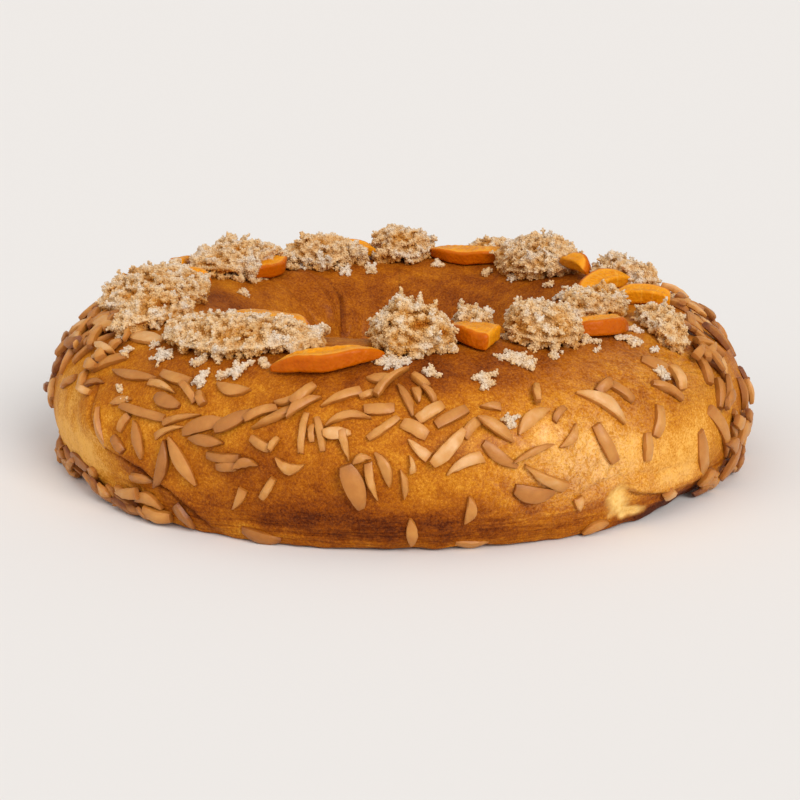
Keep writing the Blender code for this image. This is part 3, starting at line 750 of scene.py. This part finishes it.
candied = orange_finish()
for number, node in enumerate(slice_nodes):
    centre, along, towards_rind, out, radius = slice_frame(node)
    rough_slice = bpy.data.meshes.new(node + "_rough")
    solid = merged_copy(node)
    solid.to_mesh(rough_slice)
    solid.free()
    fine_slice = with_modifiers_applied(rough_slice, [
        ("REMESH", {"mode": "VOXEL", "voxel_size": 0.00062, "adaptivity": 0.0}),
        ("SMOOTH", {"factor": 0.5, "iterations": 12}),
    ])
    where = positions(fine_slice)
    offset = where - np.array(centre)
    x, y = offset @ np.array(along), offset @ np.array(towards_rind)
    behind_rind = radius - np.hypot(x, y)
    angle = np.degrees(np.arctan2(x, y)) + 11 * number
    between = np.abs((angle % segment_angle) - segment_angle / 2)
    membrane = 0.6 * np.clip(1 - (segment_angle / 2 - between) / 2.6, 0, 1)
    upwards = offset @ np.array(out)
    half_length = max(np.abs(x)) * 1.02
    thinner = 1 - 0.62 * np.clip((np.abs(x) / half_length - 0.45) / 0.55, 0, 1) ** 1.6
    feet = where - np.outer(upwards - upwards.min(), out)
    gaps = np.array([above_bread(foot) for foot in feet])
    sag = np.clip(gaps - gaps.min(), 0, soft_sag)
    where += np.outer((upwards - upwards.min()) * (thinner - 1) - sag, out)
    wave = soft_noise(where, 0.016, 3.0 * number) * 0.0008
    ripple = soft_noise(where, 0.0045, 5.0 + number) * 0.00014
    fibres = np.where(behind_rind > pith_depth, np.sin(np.radians(angle) * 42) * 0.00010, 0)
    facing = np.abs(offset @ np.array(out)) > 0.002
    where += np.outer(wave + ripple + fibres * facing, out)
    where += np.outer(soft_noise(where, 0.009, 9.0 + number) * 0.0005, towards_rind)
    fine_slice.vertices.foreach_set("co", where.ravel())
    paint(fine_slice, "depth", np.clip((behind_rind + 0.0004 * soft_noise(where, 0.003, 2.0)) / 0.006, 0, 1))
    paint(fine_slice, "membrane", membrane * (behind_rind > pith_depth))
    piece = new_piece(node + "_candied", fine_slice, candied)
    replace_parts(piece, node)


# ---- Damp sugar ----------------------------------------------------------------------------------
# Coarse sugar wetted before baking, so that it sits in crumbling clumps, white where it dried and
# amber where syrup soaked in. Its colour also holds painted light and shade: grains facing out of
# the dough are whiter, and the sugar deep in the hollows and low by the dough is darker, painted
# shade over the syrup's amber. Each solid keeps a smaller core, which carries lumps; the lumps
# carry knobs, and the knobs are covered with real grains. Crumbs lie loose on the dough round about.
clump_nodes = sorted(name for name in nodes if name.startswith("sugar_"))
grain_size = 0.00090
grain_spacing = 0.00092
nodule_spacing = 0.0029
nodule_radius = (0.0013, 0.0024)
nodule_depth = (0.0004, 0.0052)
knobs_each = 6
knob_radius = (0.0006, 0.0010)
hollow_size = 0.0052        # width of the hollows between nodules
core_inset = 0.0043
body_voxel = 0.00068
dice = random.Random(6)


def scatter_tree():
    """Geometry nodes that put one real copy of a form at every point."""
    group = bpy.data.node_groups.new("scatter", "GeometryNodeTree")
    group.interface.new_socket("Points", in_out="INPUT", socket_type="NodeSocketGeometry")
    group.interface.new_socket("Form", in_out="INPUT", socket_type="NodeSocketObject")
    group.interface.new_socket("Pieces", in_out="OUTPUT", socket_type="NodeSocketGeometry")
    into = group.nodes.new("NodeGroupInput")
    outof = group.nodes.new("NodeGroupOutput")
    form = group.nodes.new("GeometryNodeObjectInfo")
    place = group.nodes.new("GeometryNodeInstanceOnPoints")
    real = group.nodes.new("GeometryNodeRealizeInstances")
    for name, socket in (("turn", "Rotation"), ("size", "Scale")):
        stored = group.nodes.new("GeometryNodeInputNamedAttribute")
        stored.data_type = "FLOAT_VECTOR"
        stored.inputs["Name"].default_value = name
        group.links.new(stored.outputs["Attribute"], place.inputs[socket])
    group.links.new(into.outputs["Points"], place.inputs["Points"])
    group.links.new(into.outputs["Form"], form.inputs["Object"])
    group.links.new(form.outputs["Geometry"], place.inputs["Instance"])
    group.links.new(place.outputs["Instances"], real.inputs["Geometry"])
    group.links.new(real.outputs["Geometry"], outof.inputs["Pieces"])
    return group


scatter = scatter_tree()


def scattered(form_mesh, spots, turns, sizes, tones):
    """One mesh with a copy of a form at each spot, turned, sized and given its tone."""
    form = bpy.data.objects.new("form", form_mesh)
    cloud = bpy.data.meshes.new("cloud")
    cloud.from_pydata([tuple(spot) for spot in spots], [], [])
    for name, values in (("turn", turns), ("size", sizes)):
        attribute = cloud.attributes.new(name, "FLOAT_VECTOR", "POINT")
        attribute.data.foreach_set("vector", np.asarray(values, dtype=float).ravel())
    paint(cloud, "tone", tones)
    holder = bpy.data.objects.new("holder", cloud)
    bpy.context.scene.collection.objects.link(holder)
    modifier = holder.modifiers.new("scatter", "NODES")
    modifier.node_group = scatter
    modifier[scatter.interface.items_tree["Form"].identifier] = form
    view = bpy.context.evaluated_depsgraph_get()
    finished = bpy.data.meshes.new_from_object(holder.evaluated_get(view))
    bpy.data.objects.remove(holder)
    bpy.data.objects.remove(form)
    return finished


def grain_form():
    """One blocky crystal about one unit across."""
    mesh = bmesh.new()
    bmesh.ops.create_cube(mesh, size=0.86)
    for vertex in mesh.verts:
        vertex.co += Vector([dice.uniform(-0.13, 0.13) for _ in range(3)])
    form = bpy.data.meshes.new("crystal")
    mesh.to_mesh(form)
    mesh.free()
    return form


def points_on(mesh, count, keep):
    """Random points and normals on the faces of a bmesh that are kept, evenly by area."""
    faces = [face for face in mesh.faces if keep(face)]
    areas = [face.calc_area() for face in faces]
    found = []
    for face in dice.choices(faces, areas, k=count):
        corners = [vertex.co for vertex in face.verts[:3]]
        a, b = sorted((dice.random(), dice.random()))
        found.append((corners[0] * a + corners[1] * (b - a) + corners[2] * (1 - b),
                      face.normal.copy()))
    return found


def spaced(candidates, spacing):
    """The candidates, each starting with its place, that keep a spacing from those before."""
    kept, cells = [], {}
    for candidate in candidates:
        place = candidate[0]
        cell = tuple(math.floor(c / spacing) for c in place)
        near = (cells.get((cell[0] + i, cell[1] + j, cell[2] + k), ())
                for i in (-1, 0, 1) for j in (-1, 0, 1) for k in (-1, 0, 1))
        if all((place - other).length_squared >= spacing ** 2 for group in near for other in group):
            cells.setdefault(cell, []).append(place)
            kept.append(candidate)
    return kept


def random_way():
    """Any direction."""
    return Vector((dice.gauss(0, 1), dice.gauss(0, 1), dice.gauss(0, 1))).normalized()


def nodule(middle, radius, knobs):
    """Add a ball and the knobs on it to a list of middles and radii."""
    knobs.append((middle, radius * 0.85))
    for _ in range(knobs_each):
        reach = radius * dice.uniform(0.65, 1.05)
        knobs.append((middle + random_way() * reach, dice.uniform(*knob_radius)))


def clump_knobs(solid):
    """Knobs of the nodules just under a clump's surface, fewer over hollows, some standing proud."""
    knobs = []
    starts = []
    for place, normal in points_on(solid, 9000, lambda face: face.normal.dot(
            out_of_dough(face.calc_center_median())) > -0.30):
        depth = dice.uniform(*nodule_depth)
        hollow = noise.noise(place / hollow_size + Vector((2, 5, 9))) > 0.08
        if not (hollow and depth < 0.0034):
            radius = dice.uniform(*nodule_radius)
            starts.append((place - normal * (depth + 0.7 * radius), radius, normal, depth))
    for middle, radius, normal, depth in spaced(starts, nodule_spacing):
        nodule(middle, radius, knobs)
        if depth < 0.0014 and dice.random() < 0.45:
            way = (normal + random_way() * 0.8).normalized()
            for step in range(1, dice.randint(2, 4)):
                spot = middle + way * (radius + step * 0.0008) + random_way() * 0.0004
                knobs.append((spot, dice.uniform(0.0006, 0.0010)))
    return knobs


def sugar_body(name, knobs, core):
    """One closed skin over a set of knobs and a core."""
    ball = bmesh.new()
    bmesh.ops.create_icosphere(ball, subdivisions=1, radius=1.08)
    round_form = bpy.data.meshes.new("ball")
    ball.to_mesh(round_form)
    ball.free()
    together = bmesh.new()
    together.from_mesh(scattered(round_form, [middle for middle, _ in knobs],
                                 [(0, 0, 0)] * len(knobs),
                                 [[radius] * 3 for _, radius in knobs], [0] * len(knobs)))
    if core:
        together.from_mesh(core)
    rough_body = bpy.data.meshes.new(name)
    together.to_mesh(rough_body)
    together.free()
    return with_modifiers_applied(rough_body, [
        ("REMESH", {"mode": "VOXEL", "voxel_size": body_voxel, "adaptivity": 0.0})])


def sugar_tones_and_shade(spots, ways, surface):
    """How white the sugar is at each spot: whiter where it faces out of the dough, as painted light, amber where
    soaked, and darker deep in a hollow or low by the dough, as painted shade over the syrup's amber.
    """
    tones = []
    for spot, way in zip(spots, ways):
        spot = Vector(spot)
        soaked = noise.noise(spot / 0.0095 + Vector((4, 1, 7)))
        patchy = noise.noise(spot / 0.0030)
        # Syrup and random patches, and painted light: whiter where the spot faces out of the dough.
        tone = 0.62 + 0.32 * soaked + 0.14 * patchy + 0.16 * Vector(way).dot(out_of_dough(spot))
        if surface:
            near, normal, _, _ = surface.find_nearest(spot)
            depth = (near - spot).dot(normal)
            # Painted shade over the syrup's amber: darker deep under the clump's surface and close to the dough.
            tone -= 0.52 * min(max(depth / 0.0042, 0), 1)
            height = (bread_surface.find_nearest(spot)[0] - spot).length
            tone -= 0.26 * (1 - min(height / 0.006, 1))
        tones.append(tone)
    return tones


def random_turn():
    """Any turn, as Euler angles."""
    return [dice.uniform(0, 2 * math.pi) for _ in range(3)]


def sugar_pieces(name, knobs, core=None, surface=None):
    """The body of a clump and the real grains stuck all over it, as two pieces."""
    body = sugar_body(name + "_body", knobs, core)
    where = positions(body)
    ways = np.zeros(len(where) * 3)
    body.vertices.foreach_get("normal", ways)
    ways = ways.reshape(-1, 3)
    where += ways * (0.00018 * soft_noise(where, 0.0013, 2.0))[:, None]
    body.vertices.foreach_set("co", where.ravel())
    paint(body, "tone", sugar_tones_and_shade(where, ways, surface))
    faces = bmesh.new()
    faces.from_mesh(body)
    area = sum(face.calc_area() for face in faces.faces)
    candidates = points_on(faces, int(area / grain_spacing ** 2 * 1.7), lambda face: face.normal.dot(
        out_of_dough(face.calc_center_median())) > -0.6)
    faces.free()
    found = spaced(candidates, grain_spacing)
    spots = [place + normal * dice.uniform(-0.0001, 0.0003) for place, normal in found]
    tones = [tone + dice.uniform(-0.07, 0.09)
             for tone in sugar_tones_and_shade(spots, [normal for _, normal in found], surface)]
    sizes = [[grain_size * dice.uniform(0.70, 1.25) for _ in range(3)] for _ in spots]
    grains = scattered(crystal.copy(), spots, [random_turn() for _ in spots], sizes, tones)
    new_piece(name + "_body", body, sugar)
    heap = new_piece(name + "_grains", grains, sugar)
    grains.shade_flat()
    return heap


sugar, tree, shader = new_finish("damp_coarse_sugar")
sugar_colour = colours(tree, painted(tree, "tone"), (
    (0.00, (0.42, 0.125, 0.008)),
    (0.25, (0.54, 0.250, 0.050)),
    (0.58, (0.67, 0.450, 0.230)),
    (0.88, (0.66, 0.550, 0.435)),
))
tree.links.new(sugar_colour, shader.inputs["Base Color"])
tree.links.new(maths(tree, "MULTIPLY_ADD", grain(tree, 800, 1), 0.3, 0.25), shader.inputs["Roughness"])
shader.inputs["Specular IOR Level"].default_value = 0.10

crystal = grain_form()
for node in clump_nodes:
    solid = merged_copy(node)
    solid.normal_update()
    surface = BVHTree.FromBMesh(solid)
    knobs = clump_knobs(solid)
    for vertex in solid.verts:
        vertex.co -= vertex.normal * core_inset
    core = bpy.data.meshes.new(node + "_core")
    solid.to_mesh(core)
    solid.free()
    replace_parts(sugar_pieces(node, knobs, core, surface), node)

# Loose crumbs, each a cluster with arms: theta, phi, length in millimetres, the turn of its length
# from theta towards phi in degrees, number of arms.
crumbs = (
    (-56, 51, 11, -15, 5), (-46, 56, 15, -30, 7), (-37, 56, 10, 40, 5), (-28, 54, 16, 50, 7),
    (-24, 60, 9, 90, 4), (-34, 45, 11, 70, 5), (-30, 50, 7, 20, 3), (-49.5, 30, 5, -30, 2),
    (-47.5, 25, 4, 0, 2), (-52, 62, 9, 10, 4), (-1, 66, 19, -10, 9), (-4, 70, 11, 30, 6),
    (5, 58, 10, -40, 5), (21, 66, 21, -12, 10), (22.5, 60, 10, -80, 4), (14, 52, 18, 25, 7),
    (10, 76, 9, 20, 5), (28, 64, 5, -30, 2), (38, 64, 3, 0, 1), (39, 74, 15, -15, 5),
    (48, 64, 16, -35, 8), (50, 55, 4, 0, 2), (47, 40, 14, -25, 8), (16, 28, 12, 10, 5),
    (54, 72, 9, -30, 4), (-62, 56, 9, 10, 4), (-170, 113, 14, 80, 7), (-148, 104, 10, 40, 5),
    (108, 121, 9, 70, 4), (120, 117, 6, -20, 3), (-161, 113, 11, 60, 5), (168, 106, 10, 10, 4),
    (138, 114, 14, 85, 7), (150, 112, 8, 60, 4), (-80, 56, 9, 10, 4), (-95, 56, 10, -20, 5),
    (-112, 62, 9, 30, 4), (-140, 70, 9, 0, 4), (-160, 70, 10, 40, 4), (-175, 66, 8, 10, 3),
    (170, 60, 9, 20, 5), (150, 48, 8, 60, 4), (135, 66, 12, -30, 6), (118, 58, 8, 10, 4),
    (100, 56, 9, 40, 5), (88, 60, 10, -20, 5), (-108, 122, 8, 20, 3), (20, 120, 7, 40, 3),
)
crumb_step = 0.0011


def crumb_arm(place, way, reach):
    """Knobs from a place along the skin, to a reach in a wandering direction, with side knobs."""
    grown = []
    spot = place
    for index in range(max(1, round(reach / crumb_step))):
        spot = spot + way * crumb_step + random_way() * 0.0006
        spot, up, _, _ = bread_surface.find_nearest(spot)
        for aside in (0, 0.0009) if dice.random() < 0.55 else (0,):
            radius = dice.uniform(0.0007, 0.0012) * (1.1 - 0.3 * index * crumb_step / reach)
            rise = up * (radius * 0.6 + 0.0014 * dice.random() ** 3)
            grown.append((spot + rise + random_way() * aside, radius))
    return grown


crumb_knobs = []
for theta_here, phi_here, length, turn, arms in crumbs:
    place, normal = on_bread(theta_here, phi_here)
    along = Vector((0, 0, 1)).cross(out_of_dough(place)).normalized()
    crumb_knobs.append((place + normal * 0.0006, 0.0011))
    for arm in range(arms):
        angle = math.radians(360 * arm / arms) + dice.uniform(-0.4, 0.4)
        long_way = Matrix.Rotation(math.radians(turn) + angle, 3, normal) @ along
        reach = length / 2000 * (1 - 0.5 * abs(math.sin(angle))) * dice.uniform(0.7, 1.05)
        crumb_knobs += crumb_arm(place, long_way, reach)
sugar_pieces("sugar_crumbs", crumb_knobs)


# ---- Floor, light and camera ---------------------------------------------------------------------
# A plain pale floor without an end in view, lit by a wide soft window on the right and a weaker
# light overhead, in a pale surround.
floor_mesh = bmesh.new()
bmesh.ops.create_grid(floor_mesh, x_segments=1, y_segments=1, size=60)
bmesh.ops.translate(floor_mesh, verts=floor_mesh.verts, vec=(0, 0, -0.0001))
floor_data = bpy.data.meshes.new("floor")
floor_mesh.to_mesh(floor_data)
floor_mesh.free()
floor = bpy.data.objects.new("floor", floor_data)
bpy.context.scene.collection.objects.link(floor)
pale, tree, shader = new_finish("pale_floor")
shader.inputs["Base Color"].default_value = (0.80, 0.785, 0.775, 1)
shader.inputs["Roughness"].default_value = 1.0
shader.inputs["Specular IOR Level"].default_value = 0.0
floor_data.materials.append(pale)


def soft_sun(name, bearing, height, spread, power, colour):
    """Wide distant light from a bearing (degrees right of the front) and a height in degrees."""
    lamp = bpy.data.lights.new(name, "SUN")
    lamp.angle = math.radians(spread)
    lamp.energy = power
    lamp.color = colour
    light = bpy.data.objects.new(name, lamp)
    light.rotation_euler = (math.radians(90 - height), 0, math.radians(bearing))
    bpy.context.scene.collection.objects.link(light)


soft_sun("window", 32, 31, 30, 2.0, (1.0, 0.98, 0.95))
soft_sun("room", -35, 30, 90, 0.85, (1.0, 0.98, 0.96))
soft_sun("ceiling", -10, 78, 80, 0.30, (1.0, 0.98, 0.96))

surround_light = (0.86, 0.84, 0.82, 1)
surround_seen = (0.847, 0.815, 0.791, 1)
world = bpy.data.worlds.new("pale_surround")
world.use_nodes = True
tree = world.node_tree
lit = tree.nodes["Background"]
lit.inputs["Color"].default_value = surround_light
lit.inputs["Strength"].default_value = 0.60
seen_background = add_node(tree, "ShaderNodeBackground", Color=surround_seen, Strength=1.0)
path = add_node(tree, "ShaderNodeLightPath")
either = add_node(tree, "ShaderNodeMixShader", _0=path.outputs["Is Camera Ray"])
tree.links.new(lit.outputs[0], either.inputs[1])
tree.links.new(seen_background.outputs[0], either.inputs[2])
tree.links.new(either.outputs[0], tree.nodes["World Output"].inputs["Surface"])
bpy.context.scene.world = world
bpy.context.scene.view_settings.view_transform = "Standard"

camera_data = bpy.data.cameras.new("camera")
camera_data.lens = 78.0
camera_data.clip_end = 100
camera = bpy.data.objects.new("camera", camera_data)
camera.location = (0, -0.850, 0.240)
camera.rotation_euler = (math.radians(75.7), 0, 0)
bpy.context.scene.collection.objects.link(camera)
bpy.context.scene.camera = camera
